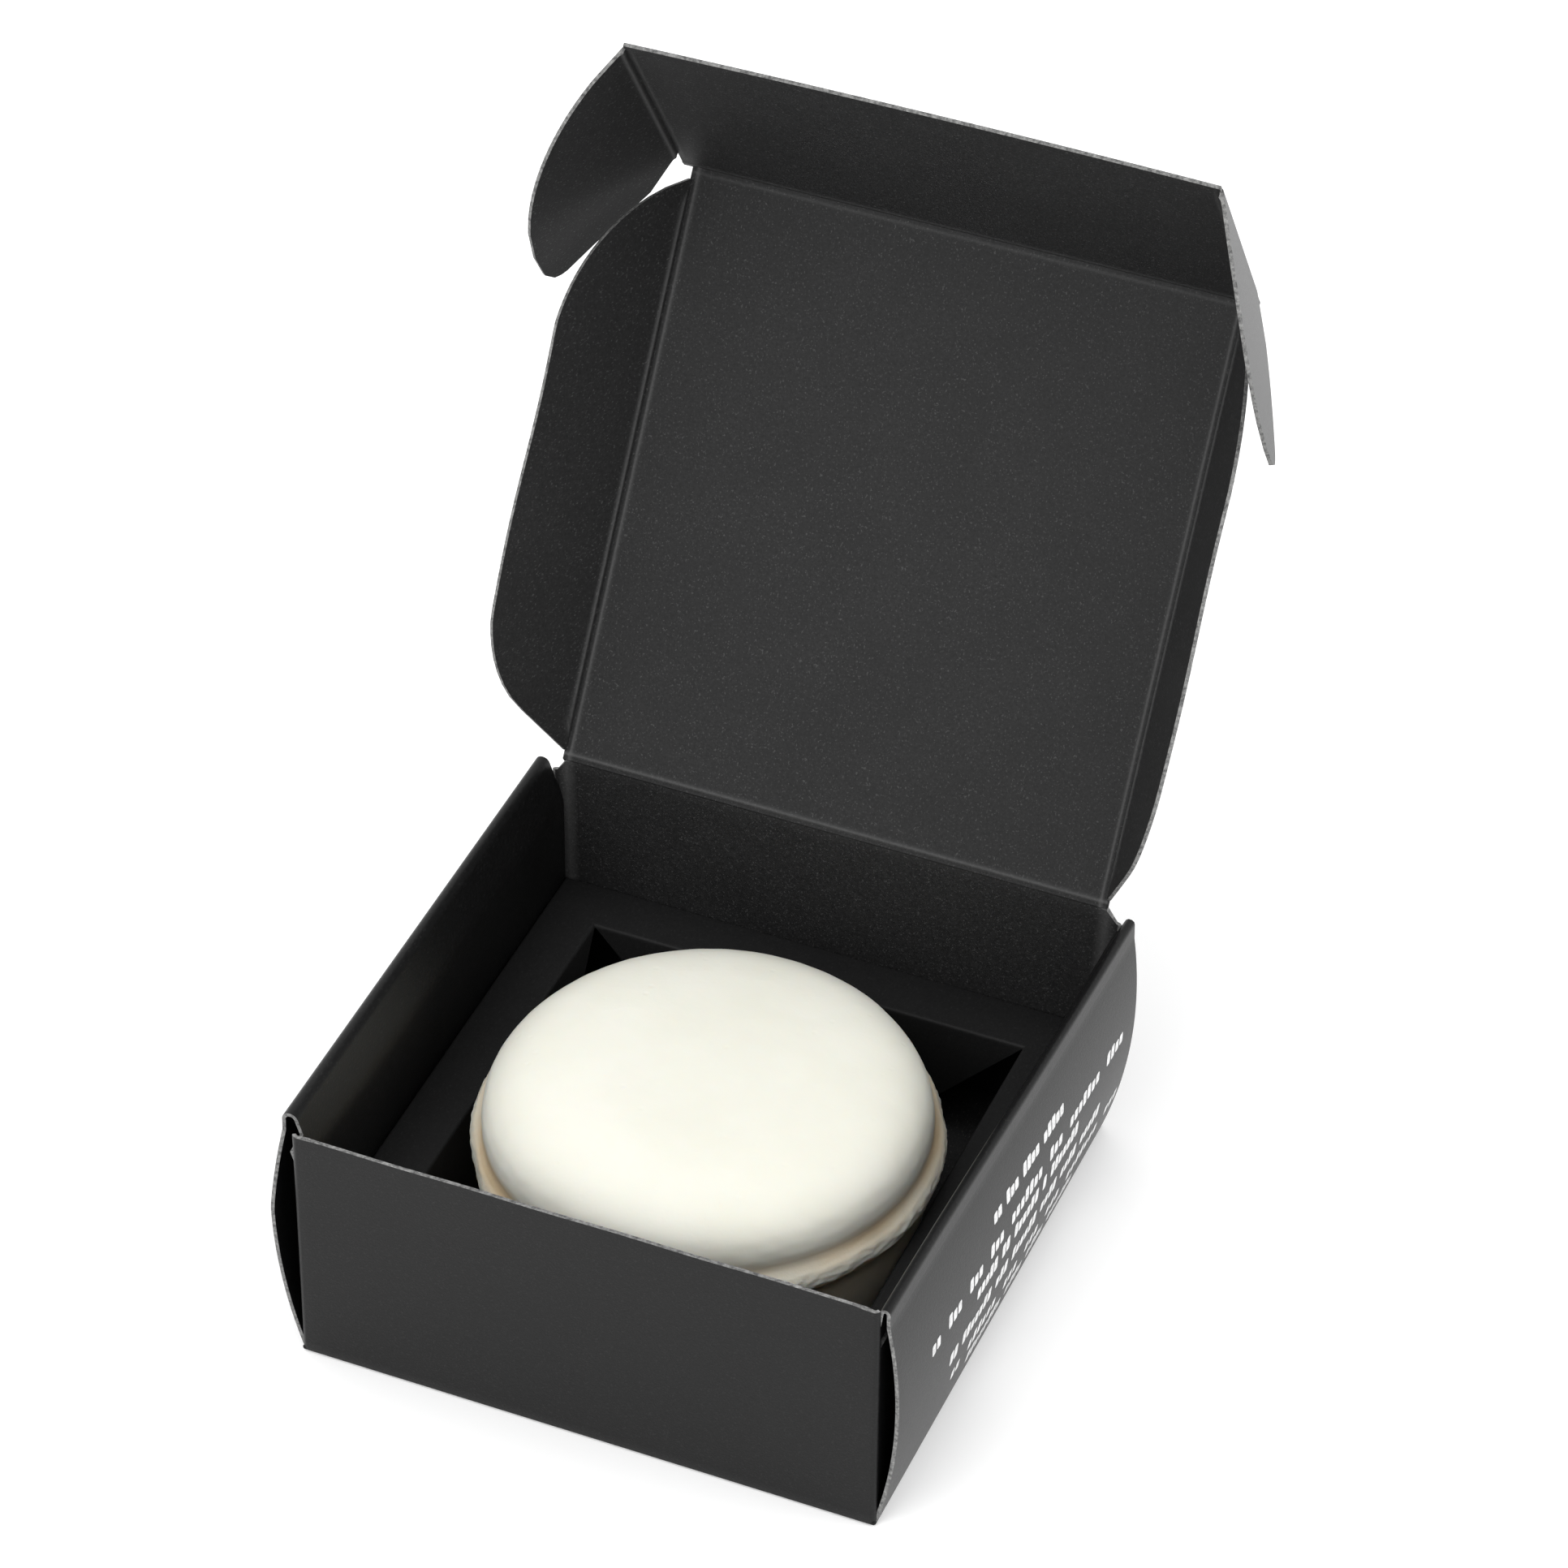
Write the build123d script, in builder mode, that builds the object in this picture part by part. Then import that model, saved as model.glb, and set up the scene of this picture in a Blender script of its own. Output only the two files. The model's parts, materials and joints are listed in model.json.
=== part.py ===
"""A soap puck in its presentation carton.

The carton is one blank of thin card, folded into a tray with hollow roll-over side
walls and a lid that tucks over the front.  A second blank makes a raised deck with a
square window, and the puck stands in that window.  Each creased panel is its own node.

Frame: origin at the centre of the base's underside, +X along the front wall to the
right, +Y to the rear, +Z up.  Millimetres.  The carton is drawn with its lid open.
"""
from build123d import *
from math import cos, radians, sin
import os

os.makedirs("parts", exist_ok=True)

# Card
card = 0.5                # thickness of both blanks
fit = 0.1                 # play between one layer of card and the next
crease = 0.45             # bare strip from a moving fold's axis to the edge of its panel

# Tray
tray_depth = 80.0         # outside, front wall to rear wall
tray_height = 36.9        # base to the top of the walls
inner_half = 38.3         # inside face of each side wall, from the middle
rear_y = tray_depth / 2
front_y = -rear_y
flap_half = inner_half + 2 * card + 0.05   # outside face of the corner flaps
base_half = inner_half + 0.9 * card
foot_half = base_half + 0.7 * card         # middle of the card at the foot of a side wall
tab_half = 14.6           # half length of the tab that locks a side wall into the base

# Hollow side walls: how far the outer layer stands out at mid height and at the top
bulge = {"left": inner_half + 4.2, "right": inner_half + 3.75}
shoulder = {"left": inner_half + 3.7, "right": inner_half + 3.0}
bulge_height = 20.0
roll_height = 33.9        # where the roll-over top begins

# Lid, its side flaps, the tuck flap and the tuck flap's ears
lid_open = 123.0          # from closed, as drawn
lid_axis_y = rear_y - card / 2
lid_axis_z = tray_height + fit + card / 2
lid_length = tray_depth + fit              # hinge axis to tuck fold
lid_half = inner_half - 0.05               # fold axis of the side flaps, from the middle
side_fold = {"left": 62.0, "right": 65.5}
side_reach = 18.0
tuck_fold = 65.5
tuck_length = 35.2
ear_half = flap_half + 0.8 * card          # fold axis of the ears, from the middle
ear_fold = {"left": 62.0, "right": 67.0}
ear_reach = 23.9

# Insert
deck_height = 17.2        # top of the deck above the table
deck_half_x = inner_half - fit
deck_half_y = rear_y - card - fit
rail = 7.2                # width of the deck around the window
window_half_x = deck_half_x - rail
window_half_y = deck_half_y - rail
window_fold = 84.0        # window flaps, turned down from the deck
window_drop = 15.0

# Puck
puck_x = 0.8
puck_y = -2.8
rim_height = deck_height + 3.4             # the rim stands clear of the deck
rim_radius = 30.5
groove_height = rim_height + 2.8
groove_radius = 27.9
crown_height = rim_height + 6.0            # widest level of the crown
crown_radius = 28.9
puck_top = rim_height + 11.0
foot_radius = 26.4
foot_round = 3.0

sides = {"left": -1, "right": 1}


def save(part, node):
    """Label a finished piece and write it under its node's name."""
    part.label = node
    export_step(part, f"parts/{node}.step")


# ---- Tray: base, front wall and rear wall -------------------------------------------

base_bottom = Plane.XY
with BuildPart() as base_panel:
    with BuildSketch(base_bottom):
        Rectangle(2 * base_half, tray_depth)
        # a notch in each side edge takes the wall's locking tab
        for sign in sides.values():
            with Locations((sign * base_half, 0)):
                Rectangle(2 * (base_half - inner_half + fit), 2 * (tab_half + 4 * fit), mode=Mode.SUBTRACT)
    extrude(amount=card)
save(base_panel.part, "base_panel")

with BuildPart() as front_wall:
    with BuildSketch(Plane.XY.offset(card)):
        with Locations((0, front_y + card / 2)):
            Rectangle(2 * flap_half, card)
    extrude(amount=tray_height - card)
save(front_wall.part, "front_wall")

with BuildPart() as rear_wall:
    with BuildSketch(Plane.XY.offset(card)):
        with Locations((0, rear_y - card / 2)):
            Rectangle(2 * flap_half, card)
    extrude(amount=lid_axis_z - crease - card)
save(rear_wall.part, "rear_wall")

# ---- Corner flaps: front and rear walls turned back inside the hollow side walls -----

flap_length = 14.0
flap_foot = 0.1 + 5 * card                 # clears the foot of the bulging outer layer
flap_head = roll_height - 0.9
flap_round = 6.0

for side, sign in sides.items():
    flap_plane = Plane.YZ.offset(sign * (flap_half - card / 2) - card / 2)
    for end, direction in {"front": -1, "rear": 1}.items():
        with BuildPart() as corner_flap:
            with BuildSketch(flap_plane):
                root = direction * (rear_y - card)
                middle = root - direction * flap_length / 2
                with Locations((middle, (flap_foot + flap_head) / 2)):
                    Rectangle(flap_length, flap_head - flap_foot)
                free_corners = vertices().sort_by(Axis.Y)
                free_corners = free_corners[:2] if direction > 0 else free_corners[-2:]
                fillet(free_corners, radius=flap_round)
            extrude(amount=card)
        save(corner_flap.part, f"corner_flap_{end}_{side}")

# ---- Hollow side walls: outer layer, roll-over top and inner layer with its tab -------

wall_half_y = rear_y - card - fit          # the side walls stand between front and rear walls
layer_x = inner_half + card / 2            # middle of the inner layer's card
top_mid = tray_height - card / 2
lead_in = {"left": 3.0, "right": 2.6}      # cut off the front top corner to let the ears by
lead_in_drop = 13.5

for side, sign in sides.items():
    foot = (sign * foot_half, 0.1)
    belly = (sign * (bulge[side] - card / 2), bulge_height)
    neck = (sign * (shoulder[side] - card / 2), roll_height)

    with BuildPart() as outer_panel:
        with BuildSketch(Plane.XZ.offset(-wall_half_y)):
            with BuildLine() as outer_line:
                ThreePointArc(foot, belly, neck)
            trace(outer_line.line, card)
        extrude(amount=2 * wall_half_y)
        with BuildSketch(Plane.YZ):
            with BuildLine():
                Polyline(
                    (-wall_half_y, top_mid - lead_in_drop),
                    (-wall_half_y, tray_height),
                    (-wall_half_y + lead_in[side], tray_height),
                    (-wall_half_y + lead_in[side], roll_height),
                    close=True,
                )
            make_face()
        extrude(amount=sign * 2 * flap_half, mode=Mode.SUBTRACT)
    save(outer_panel.part, f"outer_panel_{side}")

    # The card rises from the neck, turns over at the crest and slopes down to the inner layer.
    crest = (shoulder[side] + inner_half) / 2
    crest_round = 0.2 * (shoulder[side] - inner_half)
    with BuildPart() as roll_over:
        with BuildSketch(Plane.XZ.offset(-wall_half_y)):
            with BuildLine() as roll_line:
                FilletPolyline(
                    (neck[0], roll_height + 0.05),
                    (neck[0] - sign * 0.05, top_mid),
                    (sign * crest, top_mid),
                    (sign * layer_x, roll_height + 0.5),
                    (sign * layer_x, roll_height + 0.05),
                    radius=[crest_round, crest_round, crest_round],
                )
            trace(roll_line.line, card)
        extrude(amount=2 * wall_half_y)
        with BuildSketch(Plane.XY.offset(roll_height)):
            with Locations((sign * (flap_half + 4 * card), -wall_half_y)):
                Rectangle(6 * card, 2 * lead_in[side])
        extrude(amount=tray_height - roll_height, mode=Mode.SUBTRACT)
    save(roll_over.part, f"roll_over_{side}")

    with BuildPart() as inner_panel:
        with BuildSketch(Plane.YZ.offset(sign * layer_x - card / 2)):
            with Locations((0, (card + roll_height) / 2)):
                Rectangle(2 * wall_half_y, roll_height - card)
            with Locations((0, card)):
                Rectangle(2 * tab_half, 2 * (card - fit))
        extrude(amount=card)
    save(inner_panel.part, f"inner_panel_{side}")

# ---- Lid ------------------------------------------------------------------------------

rise_angle = radians(180 - lid_open)
across = Vector(1, 0, 0)
lid_along = Vector(0, cos(rise_angle), sin(rise_angle))      # hinge to tuck fold
lid_inward = Vector(0, -sin(rise_angle), cos(rise_angle))    # towards the lid's inner face
lid_hinge = Vector(0, lid_axis_y, lid_axis_z)


def card_plane(origin, x_dir, z_dir):
    """The lower face of a panel whose mid-plane passes through the origin."""
    return Plane(origin=origin, x_dir=x_dir, z_dir=z_dir).offset(-card / 2)


with BuildPart() as lid_panel:
    with BuildSketch(card_plane(lid_hinge, across, lid_inward)):
        with Locations((0, lid_length / 2)):
            Rectangle(2 * (lid_half - crease + fit), lid_length - 2 * crease)
    extrude(amount=card)
save(lid_panel.part, "lid_panel")

# Side flaps: a slanted run-out at the hinge end, a long straight edge, a round front end.
for side, sign in sides.items():
    fold = radians(side_fold[side])
    flap_out = across * (sign * cos(fold)) + lid_inward * sin(fold)
    flap_normal = flap_out.cross(lid_along)
    with BuildPart() as lid_side_flap:
        with BuildSketch(card_plane(lid_hinge + across * (sign * lid_half), flap_out, flap_normal)):
            with BuildLine():
                hinge_end = (crease, 1.2)
                slant_end = (9.2, 6.0)
                edge_start = (side_reach, 18.0)
                edge_end = (side_reach, 57.0)
                front_end = (crease, lid_length - 1.8)
                Line(hinge_end, slant_end)
                ThreePointArc(slant_end, (14.9, 10.7), edge_start)
                Line(edge_start, edge_end)
                ThreePointArc(edge_end, (12.0, 70.2), front_end)
                Line(front_end, hinge_end)
            make_face()
        extrude(amount=card)
    save(lid_side_flap.part, f"lid_side_flap_{side}")

# ---- Tuck flap and its ears -------------------------------------------------------------

tuck_turn = radians(tuck_fold)
tuck_hinge = lid_hinge + lid_along * lid_length
tuck_along = lid_along * cos(tuck_turn) + lid_inward * sin(tuck_turn)
tuck_inward = lid_inward * cos(tuck_turn) - lid_along * sin(tuck_turn)

with BuildPart() as tuck_flap:
    with BuildSketch(card_plane(tuck_hinge, across, tuck_inward)):
        with Locations((0, (crease + tuck_length) / 2)):
            Rectangle(2 * (ear_half - crease), tuck_length - crease)
    extrude(amount=card)
save(tuck_flap.part, "tuck_flap")

for side, sign in sides.items():
    fold = radians(ear_fold[side])
    ear_out = across * (sign * cos(fold)) + tuck_inward * sin(fold)
    ear_normal = ear_out.cross(tuck_along)
    with BuildPart() as ear:
        with BuildSketch(card_plane(tuck_hinge + across * (sign * ear_half), ear_out, ear_normal)):
            with BuildLine():
                relief_root = (crease, 3.9)
                relief_tip = (6.0, 0.5)
                shoulder_start = (ear_reach - 3.4, 0.5)
                shoulder_end = (ear_reach, 4.1)
                tip_end = (ear_reach, 9.0)
                toe = (5.6, 33.1)
                root_end = (crease, 34.4)
                Line(relief_root, relief_tip)
                Line(relief_tip, shoulder_start)
                RadiusArc(shoulder_start, shoulder_end, 3.7)
                Line(shoulder_end, tip_end)
                ThreePointArc(tip_end, (18.6, 23.6), toe)
                Line(toe, root_end)
                Line(root_end, relief_root)
            make_face()
        extrude(amount=card)
    save(ear.part, f"ear_{side}")

# ---- Insert: deck with a square window, window flaps and skirts --------------------------

with BuildPart() as insert_deck:
    with BuildSketch(Plane.XY.offset(deck_height - card)):
        Rectangle(2 * deck_half_x, 2 * deck_half_y)
        Rectangle(2 * window_half_x, 2 * window_half_y, mode=Mode.SUBTRACT)
    extrude(amount=card)
save(insert_deck.part, "insert_deck")

window_sides = {
    "front": (Vector(0, -1, 0), window_half_x, window_half_y, deck_half_x, deck_half_y),
    "rear": (Vector(0, 1, 0), window_half_x, window_half_y, deck_half_x, deck_half_y),
    "left": (Vector(-1, 0, 0), window_half_y, window_half_x, deck_half_y - card, deck_half_x),
    "right": (Vector(1, 0, 0), window_half_y, window_half_x, deck_half_y - card, deck_half_x),
}
window_turn = radians(window_fold)
up = Vector(0, 0, 1)

for name, (outward, edge_half, edge_distance, skirt_half, skirt_distance) in window_sides.items():
    # Each flap hangs from the window's edge and leans in; its ends are mitred at 45 degrees.
    flap_down = outward * -cos(window_turn) - up * sin(window_turn)
    flap_face = flap_down.cross(outward.cross(up))
    flap_root = outward * edge_distance + up * (deck_height - card)
    with BuildPart() as window_flap:
        with BuildSketch(Plane(origin=flap_root, x_dir=outward.cross(up), z_dir=flap_face)):
            with BuildLine():
                toe_half = edge_half - window_drop - card
                Polyline(
                    (-edge_half + card + fit, 0),
                    (edge_half - card - fit, 0),
                    (toe_half, -window_drop),
                    (-toe_half, -window_drop),
                    close=True,
                )
            make_face()
        extrude(amount=card, dir=outward * -1)
    save(window_flap.part, f"window_flap_{name}")

    with BuildPart() as skirt:
        with BuildSketch(Plane(origin=outward * (skirt_distance - card), x_dir=up.cross(outward), z_dir=outward)):
            with Locations((0, deck_height / 2)):
                Rectangle(2 * skirt_half, deck_height - 2 * card - 2 * fit)
        extrude(amount=card)
    save(skirt.part, f"insert_skirt_{name}")

# ---- Puck: one casting, a domed crown over a thin flash rim and a tapered foot -----------

puck_bottom = card + 0.05
with BuildPart() as soap_puck:
    with BuildSketch(Plane.XZ.offset(-puck_y)):
        with BuildLine():
            crown_edge = (puck_x + 20.0, puck_top - 0.7)
            crown_side = (puck_x + crown_radius, crown_height)
            groove = (puck_x + groove_radius, groove_height)
            rim_top = (puck_x + rim_radius - 0.5, rim_height + 0.9)
            rim_tip = (puck_x + rim_radius, rim_height)
            rim_under = (puck_x + rim_radius - 0.8, rim_height - 1.0)
            body_top = (puck_x + rim_radius - 1.9, rim_height - 3.0)
            body_foot = (puck_x + foot_radius, puck_bottom + foot_round)
            sole = (puck_x + foot_radius - foot_round, puck_bottom)
            ThreePointArc((puck_x, puck_top), (puck_x + 10.5, puck_top - 0.2), crown_edge)
            ThreePointArc(crown_edge, (puck_x + 26.6, puck_top - 2.1), crown_side)
            ThreePointArc(crown_side, (puck_x + crown_radius - 0.35, crown_height - 1.8), groove)
            Line(groove, rim_top)
            ThreePointArc(rim_top, rim_tip, rim_under)
            Line(rim_under, body_top)
            Line(body_top, body_foot)
            RadiusArc(body_foot, sole, foot_round)
            Line(sole, (puck_x, puck_bottom))
            Line((puck_x, puck_bottom), (puck_x, puck_top))
        make_face()
    revolve(axis=Axis((puck_x, puck_y, 0), (0, 0, 1)))
save(soap_puck.part, "soap_puck")
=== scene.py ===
"""A soap puck in its black card presentation carton, lid open."""
import json
from math import atan2, cos, exp, pi, radians, sin, sqrt

import bmesh
import bpy
import numpy as np
from mathutils import Matrix, Vector, noise


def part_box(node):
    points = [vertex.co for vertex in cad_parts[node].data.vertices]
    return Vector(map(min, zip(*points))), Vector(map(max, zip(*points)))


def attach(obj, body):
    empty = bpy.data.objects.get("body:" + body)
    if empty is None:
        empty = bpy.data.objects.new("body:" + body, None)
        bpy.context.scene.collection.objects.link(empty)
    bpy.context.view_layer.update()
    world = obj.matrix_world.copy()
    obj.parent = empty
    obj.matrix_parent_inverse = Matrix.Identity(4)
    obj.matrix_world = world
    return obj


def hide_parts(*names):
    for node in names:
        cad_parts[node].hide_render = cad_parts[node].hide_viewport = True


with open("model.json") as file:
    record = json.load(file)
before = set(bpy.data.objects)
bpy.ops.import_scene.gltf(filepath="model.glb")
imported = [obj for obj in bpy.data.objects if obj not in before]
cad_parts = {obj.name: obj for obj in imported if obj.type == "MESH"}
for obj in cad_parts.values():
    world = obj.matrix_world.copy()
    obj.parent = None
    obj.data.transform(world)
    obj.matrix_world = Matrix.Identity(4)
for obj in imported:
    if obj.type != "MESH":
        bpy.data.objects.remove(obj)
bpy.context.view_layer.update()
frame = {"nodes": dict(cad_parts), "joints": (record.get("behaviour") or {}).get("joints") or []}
joints = {joint["name"]: joint for joint in frame["joints"]}


# ---- Camera ----------------------------------------------------------------------------
# A long lens looks down over the front right corner, so that the tray's inside, the
# printed side and the underside of the raised lid all show.

view_target = Vector((-0.0060, 0.0378, 0.0450))
view_turn = radians(22.52)
view_height = radians(39.74)
view_roll = radians(0.53)
view_distance = 0.836

camera_data = bpy.data.cameras.new("view")
camera_data.lens = 147.96
camera_data.sensor_width = 36.0
camera_data.clip_end = 20.0
camera = bpy.data.objects.new("view", camera_data)
level = cos(view_height)
towards_camera = Vector((sin(view_turn) * level, -cos(view_turn) * level, sin(view_height)))
camera.location = view_target + view_distance * towards_camera
turned = towards_camera.to_track_quat("Z", "Y").to_matrix()
camera.rotation_euler = (turned @ Matrix.Rotation(view_roll, 3, "Z")).to_euler()
bpy.context.scene.collection.objects.link(camera)
bpy.context.scene.camera = camera


# ---- Room ------------------------------------------------------------------------------
# A white table and white walls.  Broad soft lamps hang high on the left, in front and on
# the right, so that shadows stay close to the carton.  The table glows a little.

world = bpy.data.worlds.new("room")
world.use_nodes = True
world.node_tree.nodes["Background"].inputs["Color"].default_value = (1.0, 1.0, 1.0, 1.0)
world.node_tree.nodes["Background"].inputs["Strength"].default_value = 1.08
bpy.context.scene.world = world
bpy.context.scene.view_settings.view_transform = "Standard"


def soft_lamp(name, place, aim, size, power):
    data = bpy.data.lights.new(name, "AREA")
    data.shape = "SQUARE"
    data.size = size
    data.energy = power
    lamp = bpy.data.objects.new(name, data)
    lamp.location = place
    lamp.rotation_euler = (Vector(place) - Vector(aim)).to_track_quat("Z", "Y").to_euler()
    bpy.context.scene.collection.objects.link(lamp)


soft_lamp("top_softbox", (-0.45, 0.05, 1.10), (0.0, 0.0, 0.03), 0.80, 1.2)
soft_lamp("front_softbox", (-0.30, -0.85, 0.84), (0.0, 0.0, 0.06), 0.80, 5.0)
soft_lamp("right_softbox", (0.95, 0.10, 0.55), (0.0, 0.0, 0.03), 0.60, 3.0)

table_mesh = bpy.data.meshes.new("table")
table_edge = 3.0
table_top = -0.0002
table_corners = [(x * table_edge, y * table_edge, table_top) for x, y in ((-1, -1), (1, -1), (1, 1), (-1, 1))]
table_mesh.from_pydata(table_corners, [], [(0, 1, 2, 3)])
table = bpy.data.objects.new("table", table_mesh)
bpy.context.scene.collection.objects.link(table)
white_table = bpy.data.materials.new("white_table")
white_table.use_nodes = True
table_paint = white_table.node_tree.nodes["Principled BSDF"].inputs
table_paint["Base Color"].default_value = (0.93, 0.93, 0.93, 1.0)
table_paint["Roughness"].default_value = 0.8
table_paint["Emission Color"].default_value = (1.0, 1.0, 1.0, 1.0)
table_paint["Emission Strength"].default_value = 0.13
table_mesh.materials.append(white_table)


# ---- Black carton card -----------------------------------------------------------------
# The carton is half-millimetre solid board, dyed black through and left uncoated inside.
# Fine pale fibres show in it, and its cut edges are paler and slightly furred.

card = 0.5
millimetre = 0.001


class Level:
    """One value in a finish, so that sums of values can be written out plainly."""

    def __init__(self, finish, socket):
        self.finish = finish
        self.socket = socket

    def _sum(self, operation, first, second):
        return self.finish.add("ShaderNodeMath", {"operation": operation}, {0: first, 1: second})

    def __add__(self, other):
        return self._sum("ADD", self, other)

    __radd__ = __add__

    def __sub__(self, other):
        return self._sum("SUBTRACT", self, other)

    def __rsub__(self, other):
        return self._sum("SUBTRACT", other, self)

    def __mul__(self, other):
        return self._sum("MULTIPLY", self, other)

    __rmul__ = __mul__


class Finish:
    """A material made node by node on one glossy shader."""

    def __init__(self, name, constants):
        self.material = bpy.data.materials.new(name)
        self.material.use_nodes = True
        self.tree = self.material.node_tree
        self.shader = self.tree.nodes["Principled BSDF"]
        for socket, value in constants.items():
            self.shader.inputs[socket].default_value = value

    def add(self, kind, settings, inputs, output=0):
        node = self.tree.nodes.new(kind)
        for setting, value in settings.items():
            if setting == "stops":
                ramp = node.color_ramp
                for index, (place, shade) in enumerate(value):
                    stop = ramp.elements[index] if index < 2 else ramp.elements.new(place)
                    stop.position = place
                    stop.color = (shade, shade, shade, 1.0)
            else:
                setattr(node, setting, value)
        for socket, value in inputs.items():
            if isinstance(value, Level):
                self.tree.links.new(value.socket, node.inputs[socket])
            else:
                node.inputs[socket].default_value = value
        return Level(self, node.outputs[output])

    def feed(self, socket, level):
        self.tree.links.new(level.socket, self.shader.inputs[socket])

    def place(self):
        return self.add("ShaderNodeTexCoord", {}, {}, "Object")

    def grain(self, per_metre, detail=2.0, roughness=0.6, stretch=(1.0, 1.0, 1.0)):
        spot = self.add("ShaderNodeMapping", {}, {"Vector": self.place(), "Scale": stretch})
        return self.add("ShaderNodeTexNoise", {}, {"Vector": spot, "Scale": per_metre, "Detail": detail,
                                                    "Roughness": roughness})

    def ramp(self, level, *stops):
        return self.add("ShaderNodeValToRGB", {"stops": stops}, {0: level})

    def blend(self, amount, dark, light):
        return self.add("ShaderNodeMix", {"data_type": "RGBA"}, {0: amount, 6: dark, 7: light}, 2)

    def roughen(self, level, strength, depth):
        bump = self.add("ShaderNodeBump", {}, {"Strength": strength, "Distance": depth, "Height": level})
        self.feed("Normal", bump)


# Pale grey for the crease ridges: partly crease-whitened fibres, partly a painted highlight along each ridge.
crease_wear_and_highlight_grey = (0.075, 0.075, 0.075, 1.0)
fibre_grey = (0.085, 0.085, 0.085, 1.0)


def black_card(name, dark, pale, fibre_share, roughness, gloss):
    finish = Finish(name, {"Specular IOR Level": gloss})
    pulp = finish.grain(2600, 4.0, 0.7)
    cloud = finish.grain(90, 2.0)
    fibres = finish.grain(4200, 1.0, 0.5, (1.0, 0.45, 1.0))
    fibre_mask = finish.ramp(fibres, (0.62, 0.0), (0.74, 1.0)) * fibre_share
    ground = finish.blend(finish.ramp(pulp, (0.3, 0.0), (0.7, 1.0)), dark, pale)
    tone = finish.blend(finish.ramp(cloud, (0.35, 0.0), (0.65, 1.0)) * 0.25, ground, dark)
    # The raised crease ridges are lightened: partly crease-whitened fibres, partly a painted highlight where
    # each ridge would catch the light.
    ridge_wear_and_highlight = finish.add("ShaderNodeAttribute", {"attribute_name": "crease_rub"}, {}, "Fac")
    tone_with_ridge_wear_and_highlight = finish.blend(ridge_wear_and_highlight * (0.35 + 0.7 * pulp), tone, crease_wear_and_highlight_grey)
    finish.feed("Base Color", finish.blend(fibre_mask, tone_with_ridge_wear_and_highlight, fibre_grey))
    finish.feed("Roughness", roughness + 0.12 * pulp)
    finish.roughen(pulp + 0.5 * fibres, 0.22, 0.00012)
    return finish.material


carton_inside = black_card("carton_card_inside", (0.008, 0.008, 0.0082, 1), (0.022, 0.022, 0.0223, 1),
                           0.5, 0.56, 0.22)
carton_outside = black_card("carton_card_outside", (0.003, 0.003, 0.0031, 1), (0.006, 0.006, 0.0061, 1),
                            0.10, 0.31, 0.20)

cut_edge = Finish("cut_card_edge", {"Specular IOR Level": 0.3})
fur = cut_edge.grain(1700, 3.0, 0.7)
cut_edge.feed("Base Color", cut_edge.blend(cut_edge.ramp(fur, (0.35, 0.0), (0.68, 1.0)),
                                            (0.07, 0.07, 0.07, 1), (0.27, 0.27, 0.265, 1)))
cut_edge.feed("Roughness", 0.7 + 0.2 * fur)
cut_edge.roughen(fur, 0.5, 0.0002)


beside_fold = (0.15, 0.3, 0.45, 0.6, 0.75, 0.9, 1.05, 1.2, 1.4, 1.8, 2.4)


def lines(low, high, spacing, *marks):
    """Grid lines from low to high, with a fine cluster beside each fold that is named."""
    count = max(2, int(round((high - low) / spacing)))
    values = list(np.linspace(low, high, count + 1))
    for mark in marks:
        for step in beside_fold:
            values += [mark + step, mark - step]
    values = sorted(v for v in values if low <= v <= high)
    return np.array([v for i, v in enumerate(values) if i == 0 or v - values[i - 1] > 1e-3])


bead_height = 0.22
carton_skins = (carton_inside, cut_edge.material, carton_outside)


def unit(vectors):
    return vectors / np.maximum(np.linalg.norm(vectors, axis=-1, keepdims=True), 1e-9)


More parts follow.
